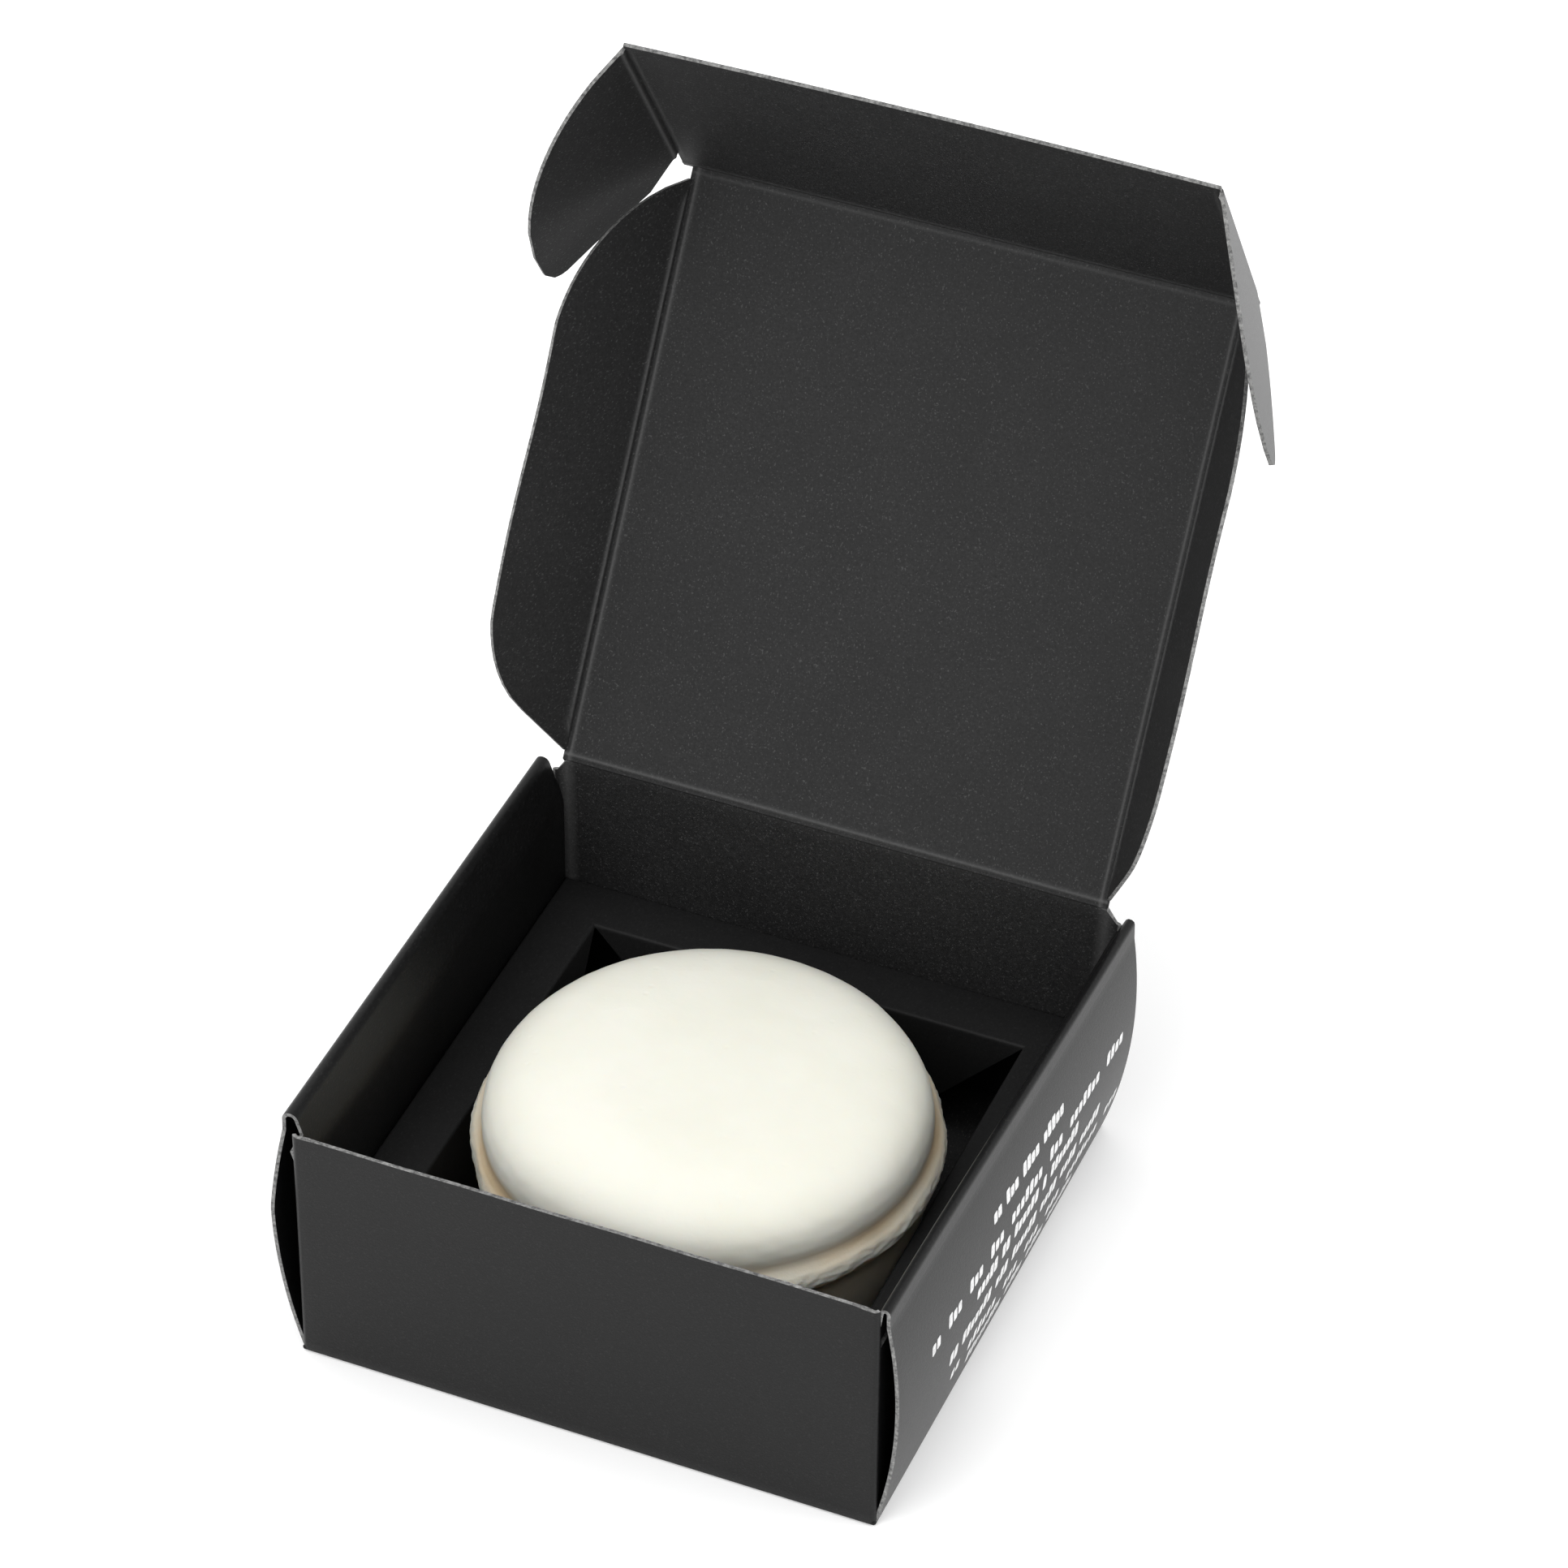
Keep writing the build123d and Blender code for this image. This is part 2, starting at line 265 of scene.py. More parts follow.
def card_shell(name, centre, inside, rims, body, nodes, raised=None, skins=carton_skins):
    """A folded sheet of card from its middle surface: two skins and a rim.

    rims gives the roundness of the four rims, first row, last row, first column and last
    column: 1 where the card turns over a fold, 0 where it is cut.
    """
    rows, columns = centre.shape[:2]
    along_rows = np.gradient(centre, axis=0)
    along_columns = np.gradient(centre, axis=1)
    normal = np.cross(along_rows, along_columns)
    normal /= np.linalg.norm(normal, axis=2, keepdims=True)
    if (normal.reshape(-1, 3) @ np.array(inside, float)).sum() < 0:
        normal = -normal
    lift = np.zeros((rows, columns)) if raised is None else raised
    inner = centre + normal * (card / 2 + lift[..., None])
    outer = centre - normal * card / 2

    row_out, column_out = unit(along_rows), unit(along_columns)
    first_row, last_row, first_column, last_column = (
        np.broadcast_to(rim, (columns if k < 2 else rows,)) for k, rim in enumerate(rims))
    border = [(i, 0, -column_out[i, 0], first_column[i]) for i in range(rows)]
    border += [(rows - 1, j, row_out[rows - 1, j], last_row[j]) for j in range(columns)]
    border += [(i, columns - 1, column_out[i, columns - 1], last_column[i]) for i in reversed(range(rows))]
    border += [(0, j, -row_out[0, j], first_row[j]) for j in reversed(range(columns))]

    vertices = list(inner.reshape(-1, 3)) + list(outer.reshape(-1, 3))
    faces, kinds = [], []
    size = rows * columns
    for i in range(rows - 1):
        for j in range(columns - 1):
            a, b = i * columns + j, (i + 1) * columns + j
            faces += [(a, b, b + 1, a + 1), (size + a, size + a + 1, size + b + 1, size + b)]
            kinds += [0, 2]
    arc = [pi * k / 5 for k in range(1, 5)]
    rings = []
    for i, j, outward, roundness in border:
        upright = normal[i, j]
        outward = outward - upright * (outward @ upright)
        outward = outward / max(np.linalg.norm(outward), 1e-9)
        ring = [i * columns + j]
        for angle in arc:
            bulge = sin(angle) * max(roundness, 0.12)
            point = centre[i, j] + card / 2 * (cos(angle) * upright + bulge * outward)
            ring.append(len(vertices))
            vertices.append(point)
        ring.append(size + i * columns + j)
        rings.append((ring, roundness))
    for (ring, a), (after, b) in zip(rings, rings[1:] + rings[:1]):
        for k in range(len(ring) - 1):
            faces.append((ring[k], after[k], after[k + 1], ring[k + 1]))
            kinds.append(2 if min(a, b) > 0.5 else 1)

    mesh = bpy.data.meshes.new(name)
    mesh.from_pydata([tuple(v * millimetre) for v in vertices], [], faces)
    for material in skins:
        mesh.materials.append(material)
    mesh.polygons.foreach_set("material_index", kinds)
    # The ridge heights go to the finish, which lightens the ridges with crease-whitened fibres and a painted
    # highlight.
    ridge_wear_and_highlight_layer = mesh.attributes.new("crease_rub", "FLOAT", "POINT")
    ridge_wear_and_highlight_layer.data.foreach_set("value", np.pad(lift.reshape(-1) / bead_height, (0, len(vertices) - size)))
    work = bmesh.new()
    work.from_mesh(mesh)
    bmesh.ops.remove_doubles(work, verts=work.verts, dist=1e-7)
    bmesh.ops.dissolve_degenerate(work, edges=work.edges, dist=1e-7)
    bmesh.ops.recalc_face_normals(work, faces=work.faces)
    work.to_mesh(mesh)
    work.free()
    mesh.shade_smooth()
    mesh.set_sharp_from_angle(angle=radians(42))
    piece = bpy.data.objects.new(name, mesh)
    bpy.context.scene.collection.objects.link(piece)
    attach(piece, body)
    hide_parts(*nodes)


def bead(distance):
    """Height of the soft ridge that a crease raises beside itself."""
    return bead_height * np.exp(-((distance - 0.80) / 0.28) ** 2)


# ---- Tray floor ------------------------------------------------------------------------
# The carton's base panel, creased on all four sides.  A notch in the middle of each side
# crease holds the tab that locks the hollow wall.

base_low, base_high = (Vector(corner) * 1000 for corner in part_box("base_panel"))
tray_front, tray_rear = base_low.y, base_high.y
inner_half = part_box("inner_panel_right")[0][0] * 1000
foot_half = inner_half + 0.8
slot_half = 15.0

slot_corners = [end + step for end in (-slot_half, slot_half) for step in (-0.01, 0.01)]
floor_rows = np.sort(np.concatenate([lines(tray_front + card / 2, tray_rear - card / 2, 4.0), slot_corners]))
floor_reach = np.where(np.abs(floor_rows) < slot_half, inner_half - 0.1, foot_half)
floor_columns = np.linspace(-1, 1, 30)
floor = np.stack([floor_reach[:, None] * floor_columns[None, :],
                  np.repeat(floor_rows[:, None], 30, 1),
                  np.full((len(floor_rows), 30), card / 2)], axis=2)
beside = (np.abs(floor_rows) > slot_half).astype(float)
card_shell("tray_floor", floor, (0, 0, 1), (1, 1, beside, beside), "tray", ["base_panel"])


# ---- Front wall and rear wall ----------------------------------------------------------
# Each wall is one strip with a loose corner flap at both ends, turned back through a
# right angle into the hollow side wall.  The front wall's top is a bare cut edge.

flap_box = [Vector(corner) * 1000 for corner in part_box("corner_flap_front_right")]
wall_box = [Vector(corner) * 1000 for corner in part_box("front_wall")]
flap_x = (flap_box[0].x + flap_box[1].x) / 2
flap_length = flap_box[1].y - tray_front
flap_foot, flap_head = flap_box[0].z, flap_box[1].z - 2.5
wall_top = wall_box[1].z
hinge = np.array(joints["lid_hinge"]["pos_m"]) * 1000
corner_turn = 0.55


def rounded_path(points, radii, spacing):
    """Points along a run of straight stretches whose corners are arcs."""
    points = [np.array(p, float) for p in points]
    path = [points[0]]
    for before, corner, after, radius in zip(points, points[1:], points[2:], radii):
        back = (before - corner) / np.linalg.norm(before - corner)
        on = (after - corner) / np.linalg.norm(after - corner)
        half_angle = np.arccos(np.clip(back @ on, -1, 1)) / 2
        reach = radius / np.tan(half_angle)
        middle = corner + (back + on) / np.linalg.norm(back + on) * radius / np.sin(half_angle)
        start, finish = corner + back * reach, corner + on * reach
        path.append(start)
        for k in range(1, 6):
            swing = start + (finish - start) * k / 6 - middle
            path.append(middle + swing / np.linalg.norm(swing) * radius)
        path.append(finish)
    path.append(points[-1])
    dense = [path[0]]
    for a, b in zip(path, path[1:]):
        steps = max(1, int(np.ceil(np.linalg.norm(b - a) / spacing)))
        dense += [a + (b - a) * k / steps for k in range(1, steps + 1)]
    return np.array(dense)


def flap_ends(distance_to_tip):
    """Foot and head of a corner flap, with its two free corners rounded."""
    corner = 6.0
    into = np.clip(corner - distance_to_tip, 0, corner)
    drop = corner - np.sqrt(corner ** 2 - into ** 2)
    return flap_foot + drop, flap_head - drop


def wall_with_flaps(name, wall_y, facing, top_of_wall, top_round, flare, nodes):
    """A wall strip with its corner flaps; flare is how far its top corners lean out, left and right."""
    tip_y = wall_y - facing * (flap_length - card / 2)
    path = rounded_path([(-flap_x, tip_y), (-flap_x, wall_y), (flap_x, wall_y), (flap_x, tip_y)],
                        [corner_turn, corner_turn], 1.3)
    on_wall = np.abs(path[:, 1] - wall_y) < corner_turn * 0.6
    foot, head = flap_ends(np.abs(path[:, 1] - tip_y))
    foot = np.where(on_wall, card / 2, foot)
    head = np.where(on_wall, top_of_wall(path[:, 0]), head)
    up = np.linspace(0, 1, 26)
    centre = np.zeros((len(path), len(up), 3))
    centre[..., 0] = path[:, None, 0]
    slack = 0.16 * np.cos(path[:, 0] / flap_x * pi / 2).clip(0)[:, None] * np.sin(up * pi)[None, :]
    centre[..., 1] = path[:, None, 1] - facing * slack * on_wall[:, None]
    ridge = bead(inner_half - 0.1 - np.abs(path[:, 0])) * on_wall
    centre[..., 2] = foot[:, None] + (head - foot)[:, None] * up[None, :]
    towards_corner = np.clip((np.abs(centre[..., 0]) - 30.0) / 8.5, 0, 1)
    spread = np.where(centre[..., 0] < 0, -flare[0], flare[1])
    centre[..., 0] += spread * towards_corner * (centre[..., 2] / wall_top) ** 2
    rims = (0, 0, on_wall.astype(float), on_wall * top_round(path[:, 0]))
    card_shell(name, centre, (0, -facing, 0), rims, "tray", nodes, ridge[:, None] * np.ones_like(up)[None, :])


def front_top(x):
    nick = 0.45 * np.exp(-((x + flap_x - 1.2) / 0.5) ** 2)
    dip = 0.35 * np.exp(-((x - flap_x + 1.0) / 1.3) ** 2)
    return wall_top - 0.05 - nick - dip + 0.05 * np.sin(x * 0.31)


def rear_top(x):
    return np.where(np.abs(x) < inner_half, hinge[2], wall_top - 1.6)


wall_with_flaps("front_wall_and_flaps", tray_front + card / 2, -1, front_top, lambda x: 0 * x, (0.0, 0.0),
                ["front_wall", "corner_flap_front_left", "corner_flap_front_right"])
wall_with_flaps("rear_wall_and_flaps", tray_rear - card / 2, 1, rear_top,
                lambda x: (np.abs(x) < inner_half).astype(float), (0.7, 1.4),
                ["rear_wall", "corner_flap_rear_left", "corner_flap_rear_right"])


# ---- Hollow side walls -----------------------------------------------------------------
# Each side wall is one strip that bulges up from the base crease, rolls over at the top and
# comes down inside, where its tab drops into the base.  The left one's front top is cut back.

inner_x = inner_half + card / 2
bulge_height = 20.0
neck_setback = 0.3


def arc_through(a, b, c, count):
    """Points on the circle through three points, from the first to the last."""
    a, b, c = (np.array(p, float) for p in (a, b, c))
    sides = np.array([b - a, c - a])
    middle = np.linalg.solve(2 * sides, [b @ b - a @ a, c @ c - a @ a])
    radius = np.linalg.norm(a - middle)
    first = atan2(*(a - middle)[::-1])
    sweep = (atan2(*(c - middle)[::-1]) - first + pi) % (2 * pi) - pi
    return [middle + radius * np.array([cos(first + sweep * k / count), sin(first + sweep * k / count)])
            for k in range(count + 1)]


def evenly(points, count):
    """The same line in a set number of equal steps."""
    points = np.array(points)
    run = np.concatenate([[0], np.cumsum(np.linalg.norm(np.diff(points, axis=0), axis=1))])
    return np.stack([np.interp(np.linspace(0, run[-1], count), run, points[:, k]) for k in range(2)], axis=1)


def wall_profile(bulge, neck, crest, neck_z, top):
    """Middle of the card from the foot of a side wall, over its crest and down inside."""
    rise = arc_through((foot_half, card / 2), (bulge - card / 2, bulge_height), (neck - card / 2, neck_z), 30)
    shoulder = neck - neck_setback
    turn_radius = 0.55 * (shoulder - crest)
    turn_corners = [rise[-1], (shoulder, top), (crest, top), (inner_x, neck_z - 3.4), (inner_x, neck_z - 9.0)]
    turn = rounded_path(turn_corners, [turn_radius, turn_radius, 9.0], 0.2)
    inside = [(inner_x, neck_z - 9.0), (inner_x, card + 0.1)]
    return np.concatenate([rise, evenly(turn, 56)[1:], evenly(inside, 12)[1:]])


# More bulge, more neck and the crest's place, at the front end and at the rear end.
wall_ends = {"left": ((0.3, 0.3, 40.5), (0.3, 0.3, 40.7)), "right": ((-0.15, -0.75, 39.4), (0.95, 1.1, 41.4))}
lead_in = {"left": 3.0, "right": 0.0}
lead_in_drop = 13.5
for side, sign in (("left", -1), ("right", 1)):
    outer_low, outer_high = (Vector(corner) * 1000 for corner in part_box("outer_panel_" + side))
    roll_low, roll_high = (Vector(corner) * 1000 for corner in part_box("roll_over_" + side))
    bulge = max(abs(outer_low.x), abs(outer_high.x))
    neck = max(abs(roll_low.x), abs(roll_high.x))
    neck_z, top = roll_low.z, roll_high.z - card / 2
    front, rear = (wall_profile(bulge + more_bulge, neck + more_neck, crest, neck_z, top)
                   for more_bulge, more_neck, crest in wall_ends[side])
    outside = front[:, 0] > inner_x + 1.0
    lead_in_foot = top - lead_in_drop
    cut_back = lead_in[side] * np.clip((front[:, 1] - lead_in_foot) / (neck_z - lead_in_foot), 0, 1) * outside
    back = np.linspace(0, 1, 60)
    wall_length = outer_high.y - outer_low.y
    y = (outer_low.y + cut_back)[:, None] + (wall_length - cut_back)[:, None] * back[None, :]
    share = ((y - outer_low.y) / wall_length)[..., None]
    share = share * share * (3 - 2 * share) * 0.5 + share * 0.5
    section = front[:, None, :] * (1 - share) + rear[:, None, :] * share
    centre = np.stack([sign * section[..., 0], y, section[..., 1]], axis=2)
    card_shell("side_wall_" + side, centre, (0, 0, 0), (1, 0, 0, 0), "tray",
               ["outer_panel_" + side, "roll_over_" + side, "inner_panel_" + side], None,
               (carton_outside, cut_edge.material, carton_outside))


# ---- Lid -------------------------------------------------------------------------------
# The lid is creased on all four sides: to the rear wall, to a flap on each side and to the
# tuck flap.  Each crease leaves a soft ridge on the inner face.

across = np.array([1.0, 0.0, 0.0])
lid_along = np.array(joints["side_flap_right_hinge"]["axis"])
lid_inward = np.array([0.0, -lid_along[2], lid_along[1]])
lid_half = joints["side_flap_right_hinge"]["pos_m"][0] * 1000
tuck_hinge = np.array(joints["tuck_hinge"]["pos_m"]) * 1000
lid_length = np.linalg.norm(tuck_hinge - hinge)


def panel(origin, first, second, inward, first_lines, low, high, share_lines, bow=None):
    """Middle surface of a flat panel: rows along first, columns from low to high along second."""
    second_lines = low[:, None] + (high - low)[:, None] * share_lines[None, :]
    flat = origin + first_lines[:, None, None] * first + second_lines[..., None] * second
    if bow is not None:
        flat = flat + bow(first_lines[:, None], second_lines)[..., None] * inward
    return flat, second_lines


lid_rows = lines(-lid_half, lid_half, 3.0, -lid_half, lid_half)
lid_columns = lines(0.0, lid_length, 3.0, 0.0, lid_length) / lid_length
lid_bow = 0.45
lid_sheet, lid_s = panel(
    hinge, across, lid_along, lid_inward, lid_rows, 0 * lid_rows, 0 * lid_rows + lid_length, lid_columns,
    lambda x, s: -lid_bow * (1 - (x / lid_half) ** 2) * np.sin(pi * s / lid_length))
lid_beads = (bead(lid_s) + 0.4 * bead(lid_length - lid_s)
             + bead(lid_half - np.abs(lid_rows))[:, None] * np.ones_like(lid_s))
card_shell("lid_panel_card", lid_sheet, lid_inward, (1, 1, 1, 1), "lid", ["lid_panel"], lid_beads)


# ---- Lid side flaps --------------------------------------------------------------------
# Two long flaps that stand along the lid's sides and slide down inside the walls.  They slant
# in at the hinge end and are rounded at the front end.

flap_start, flap_stop = 1.2, lid_length - 1.8
flap_reach = 18.0
crease_strip = 0.45
slant_end, slant_reach = 6.0, 9.2
tail_start = 57.0


def side_flap_reach(s):
    """How far a side flap stands out from its crease, along the lid."""
    slant = crease_strip + (slant_reach - crease_strip) * (s - flap_start) / (slant_end - flap_start)
    knee = np.array(arc_through((slant_end, slant_reach), (10.7, 14.9), (18.0, flap_reach), 24))
    tail = np.array(arc_through((tail_start, flap_reach), (70.2, 12.0), (flap_stop, crease_strip), 40))
    reach = np.where(s < slant_end, slant, np.interp(s, knee[:, 0], knee[:, 1]))
    return np.where(s > tail_start, np.interp(s, tail[:, 0], tail[:, 1]), reach)


for side, sign in (("left", -1), ("right", 1)):
    joint = joints[f"side_flap_{side}_hinge"]
    flap_low, flap_high = (np.array(corner) * 1000 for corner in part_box("lid_side_flap_" + side))
    origin = np.array(joint["pos_m"]) * 1000
    width = flap_high[0] - flap_low[0]
    fold = np.arccos(np.clip((width - crease_strip) / (flap_reach - crease_strip), -1, 1))
    out = across * sign * cos(fold) + lid_inward * sin(fold)
    inward = np.cross(lid_along, out) * -sign
    rows = lines(flap_start, flap_stop, 1.6)
    reach = side_flap_reach(rows)
    shares = lines(0.0, flap_reach, 1.6, 0.0) / flap_reach
    wave = 0.30 if side == "left" else 0.12
    sheet, w = panel(origin, lid_along, out, inward, rows, 0 * rows, reach, shares,
                     lambda s, t: wave * np.sin(s * 0.16) * (t / flap_reach) ** 2)
    card_shell("lid_flap_card_" + side, sheet, inward, (0, 0, 1, 0), "side_flap_" + side,
               ["lid_side_flap_" + side], bead(w) * (reach[:, None] > 6))


# ---- Tuck flap and ears ----------------------------------------------------------------
# The tuck flap hangs over the front wall when the lid is down.  An ear at each end is creased
# from it, with a relief cut by the lid's corner and a broad rounded tip.

tuck_along = -np.array(joints["ear_right_hinge"]["axis"])
tuck_inward = np.array([0.0, -tuck_along[2], tuck_along[1]])
ear_axis_half = joints["ear_right_hinge"]["pos_m"][0] * 1000
tuck_length = 35.2
ear_top, ear_bottom, ear_reach = 3.9, 34.4, 23.9
ear_tip_round = 3.4
ear_heel, ear_heel_place = 33.1, 5.6

tuck_rows = lines(-ear_axis_half, ear_axis_half, 3.0, -ear_axis_half, ear_axis_half)
tuck_columns = lines(0.0, tuck_length, 2.4, 0.0) / tuck_length
tuck_sheet, tuck_u = panel(tuck_hinge, across, tuck_along, tuck_inward, tuck_rows, 0 * tuck_rows,
                           0 * tuck_rows + tuck_length, tuck_columns,
                           lambda x, u: -0.35 * (1 - (x / ear_axis_half) ** 2) * (u / tuck_length))
tuck_places = tuck_columns * tuck_length
beside_ear = ((tuck_places > ear_top) & (tuck_places < ear_bottom)).astype(float)
tuck_beads = 0.4 * (bead(tuck_u) + bead(ear_axis_half - np.abs(tuck_rows))[:, None] * beside_ear[None, :])
card_shell("tuck_flap_card", tuck_sheet, tuck_inward, (beside_ear, beside_ear, 1, 0), "tuck",
           ["tuck_flap"], tuck_beads)


def ear_edges(v):
    """Nearest and furthest distance from the lid crease, at each distance v from the ear's fold."""
    relief = np.interp(v, [0.0, 6.0], [ear_top, 0.5])
    past = np.clip(v - (ear_reach - ear_tip_round), 0, ear_tip_round)
    near = relief + 3.6 * (1 - np.sqrt(1 - (past / ear_tip_round * 0.999) ** 2))
    toe = np.array(arc_through((ear_reach, 9.0), (18.6, 23.6), (ear_heel_place, ear_heel), 60))[::-1]
    heel = np.interp(v, [0, ear_heel_place], [ear_bottom, ear_heel])
    far = np.where(v < ear_heel_place, heel, np.interp(v, toe[:, 0], toe[:, 1]))
    return near, far


for side, sign in (("left", -1), ("right", 1)):
    origin = np.array(joints[f"ear_{side}_hinge"]["pos_m"]) * 1000
    ear_low, ear_high = (np.array(corner) * 1000 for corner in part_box("ear_" + side))
    width = ear_high[0] - ear_low[0]
    fold = np.arccos(np.clip((width - crease_strip) / (ear_reach - crease_strip), -1, 1))
    out = across * sign * cos(fold) + tuck_inward * sin(fold)
    inward = np.cross(tuck_along, out) * -sign
    rows = lines(0.0, ear_reach, 1.0, 0.0)
    near, far = ear_edges(rows)
    sheet, u = panel(origin, out, tuck_along, inward, rows, near, far, np.linspace(0, 1, 26),
                     lambda v, w: -0.25 * np.sin(v / ear_reach * pi) * np.ones_like(w))
    card_shell("ear_card_" + side, sheet, inward, (1, 0, 0, 0), "ear_flap_" + side, ["ear_" + side],
               bead(rows)[:, None] * np.ones_like(u))


# ---- Insert ----------------------------------------------------------------------------
# A second blank of smoother card: a deck creased down into a skirt on every side, with a
# square window whose four mitred flaps are pushed down around the puck.

insert_skin = black_card("insert_card", (0.008, 0.008, 0.0082, 1), (0.013, 0.013, 0.0132, 1),
                         0.08, 0.52, 0.18)
insert_skins = (insert_skin, cut_edge.material, insert_skin)
deck_low, deck_high = (Vector(corner) * 1000 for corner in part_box("insert_deck"))
window_x = abs(joints["window_flap_right_hinge"]["pos_m"][0]) * 1000
window_y = abs(joints["window_flap_rear_hinge"]["pos_m"][1]) * 1000
deck_top = deck_high.z
crease_round = 0.47

deck_mesh = bpy.data.meshes.new("deck")
work = bmesh.new()
rings = []
quarters = ((-1, -1), (1, -1), (1, 1), (-1, 1))
for z in (deck_low.z, deck_top):
    for half_x, half_y in ((deck_high.x, deck_high.y), (window_x - card, window_y - card)):
        rings.append([work.verts.new((sx * half_x, sy * half_y, z)) for sx, sy in quarters])
under_out, under_in, over_out, over_in = rings
for k in range(4):
    n = (k + 1) % 4
    work.faces.new((over_out[k], over_out[n], over_in[n], over_in[k]))
    work.faces.new((under_in[k], under_in[n], under_out[n], under_out[k]))
    work.faces.new((under_out[k], under_out[n], over_out[n], over_out[k]))
    work.faces.new((over_in[k], over_in[n], under_in[n], under_in[k]))
work.edges.ensure_lookup_table()
creased = []
for edge in work.edges:
    a, b = (vertex.co for vertex in edge.verts)
    on_top = min(a.z, b.z) > deck_top - 0.01
    straight = abs(a.x - b.x) < 1e-6 or abs(a.y - b.y) < 1e-6
    if on_top and straight and abs(abs(a.x) - abs(b.x)) < 1e-6:
        creased.append(edge)
bmesh.ops.bevel(work, geom=creased, offset=crease_round, segments=5, profile=0.5, affect="EDGES")
bmesh.ops.scale(work, vec=(millimetre,) * 3, verts=work.verts)
bmesh.ops.recalc_face_normals(work, faces=work.faces)
work.to_mesh(deck_mesh)
work.free()
deck_mesh.materials.append(insert_skin)
deck_mesh.shade_smooth()
deck_mesh.set_sharp_from_angle(angle=radians(35))
deck = bpy.data.objects.new("insert_deck_card", deck_mesh)
bpy.context.scene.collection.objects.link(deck)
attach(deck, "insert")
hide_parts("insert_deck")

for name in ("front", "rear", "left", "right"):
    skirt = frame["nodes"]["insert_skirt_" + name]
    skirt.data.materials.clear()
    skirt.data.materials.append(insert_skin)

window_fold = radians(84.0)
window_drop = 15.0
for name, outward, edge_half in (("front", (0, -1, 0), window_x), ("rear", (0, 1, 0), window_x),
                                 ("left", (-1, 0, 0), window_y), ("right", (1, 0, 0), window_y)):
    outward = np.array(outward, float)
    up = np.array([0.0, 0.0, 1.0])
    down = -outward * cos(window_fold) - up * sin(window_fold)
    inward = -outward * sin(window_fold) + up * cos(window_fold)
    sideways = np.cross(outward, up)
    origin = np.array(joints[f"window_flap_{name}_hinge"]["pos_m"]) * 1000 + inward * card / 2
    depth = lines(0.0, window_drop, 1.2, 0.0)
    half_width = edge_half - 0.6 - depth
    sheet, _ = panel(origin, down, sideways, inward, depth, -half_width, half_width, np.linspace(0, 1, 40),
                     lambda a, b: 0.35 * np.sin(a / window_drop * pi / 2) * np.cos(b / edge_half * pi / 2))
    card_shell("window_flap_card_" + name, sheet, inward, (1, 0, 0, 0), "window_flap_" + name,
               ["window_flap_" + name], None, insert_skins)


# ---- Soap puck -------------------------------------------------------------------------
# One casting in ivory soap: a low domed crown, a soft groove and a ragged flash rim where
# the two halves of the mould met, over a tapered foot.  The groove and the foot under the
# rim carry painted shade.

puck_low, puck_high = (Vector(corner) * 1000 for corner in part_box("soap_puck"))
puck_centre = ((puck_low.x + puck_high.x) / 2, (puck_low.y + puck_high.y) / 2)
rim_radius = (puck_high.x - puck_low.x) / 2
puck_sole, puck_top = puck_low.z, puck_high.z
# Each point: its radius and how far it lies below the crown.
crown_and_groove = [(0.0, 0.0), (8.0, 0.05), (14.0, 0.2), (19.0, 0.62), (23.0, 1.4), (25.6, 2.5), (27.4, 4.0),
                    (28.3, 5.6), (28.6, 7.0), (28.6, 8.0), (28.55, 8.7), (28.75, 9.3), (29.25, 9.75),
                    (29.85, 10.1)]
rim_and_under = [(30.25, 10.6), (30.45, 11.2), (30.4, 12.0), (29.9, 12.9), (29.1, 13.8), (28.6, 15.0)]
foot_edge = [(28.0, 12.0), (27.0, 6.0), (26.3, puck_sole + 2.4), (25.3, puck_sole + 0.7),
             (23.4, puck_sole + 0.05), (12.0, puck_sole), (0.0, puck_sole)]
outline = [(radius, puck_top - drop) for radius, drop in crown_and_groove + rim_and_under] + foot_edge


def smooth_curve(points, steps):
    """A Catmull-Rom curve through the points."""
    points = [np.array(p, float) for p in points]
    points = [2 * points[0] - points[1]] + points + [2 * points[-1] - points[-2]]
    curve = []
    for a, b, c, d in zip(points, points[1:], points[2:], points[3:]):
        for k in range(steps):
            t = k / steps
            square, cube = 2 * a - 5 * b + 4 * c - d, 3 * b - a - 3 * c + d
            curve.append(0.5 * (2 * b + (c - a) * t + square * t * t + cube * t ** 3))
    curve.append(points[-2])
    return np.array(curve)


